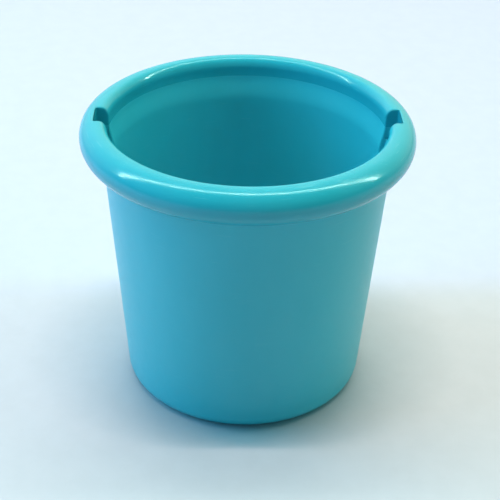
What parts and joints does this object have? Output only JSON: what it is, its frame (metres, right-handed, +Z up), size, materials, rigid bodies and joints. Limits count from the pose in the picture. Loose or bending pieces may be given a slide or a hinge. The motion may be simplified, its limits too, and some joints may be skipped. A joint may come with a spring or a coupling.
{
  "type": "sand bucket",
  "caption": "Tapered child's sand bucket with a fat rounded rim and upright slots in the rim's inner side for the ends of a carrying handle.",
  "frame": {"origin": "middle of the foot, on the surface that the bucket stands on", "axes": "+Z up along the bucket's axis, X through both handle slots, -Y towards the front"},
  "size_m": [0.13, 0.13, 0.1156],
  "materials": {
    "satin_plastic": "satin moulded turquoise plastic",
    "gloss_plastic": "glossy moulded turquoise plastic"
  },
  "bodies": {
    "root": {"bucket_body": "satin_plastic", "rim_ring": "gloss_plastic"}
  },
  "joints": []
}
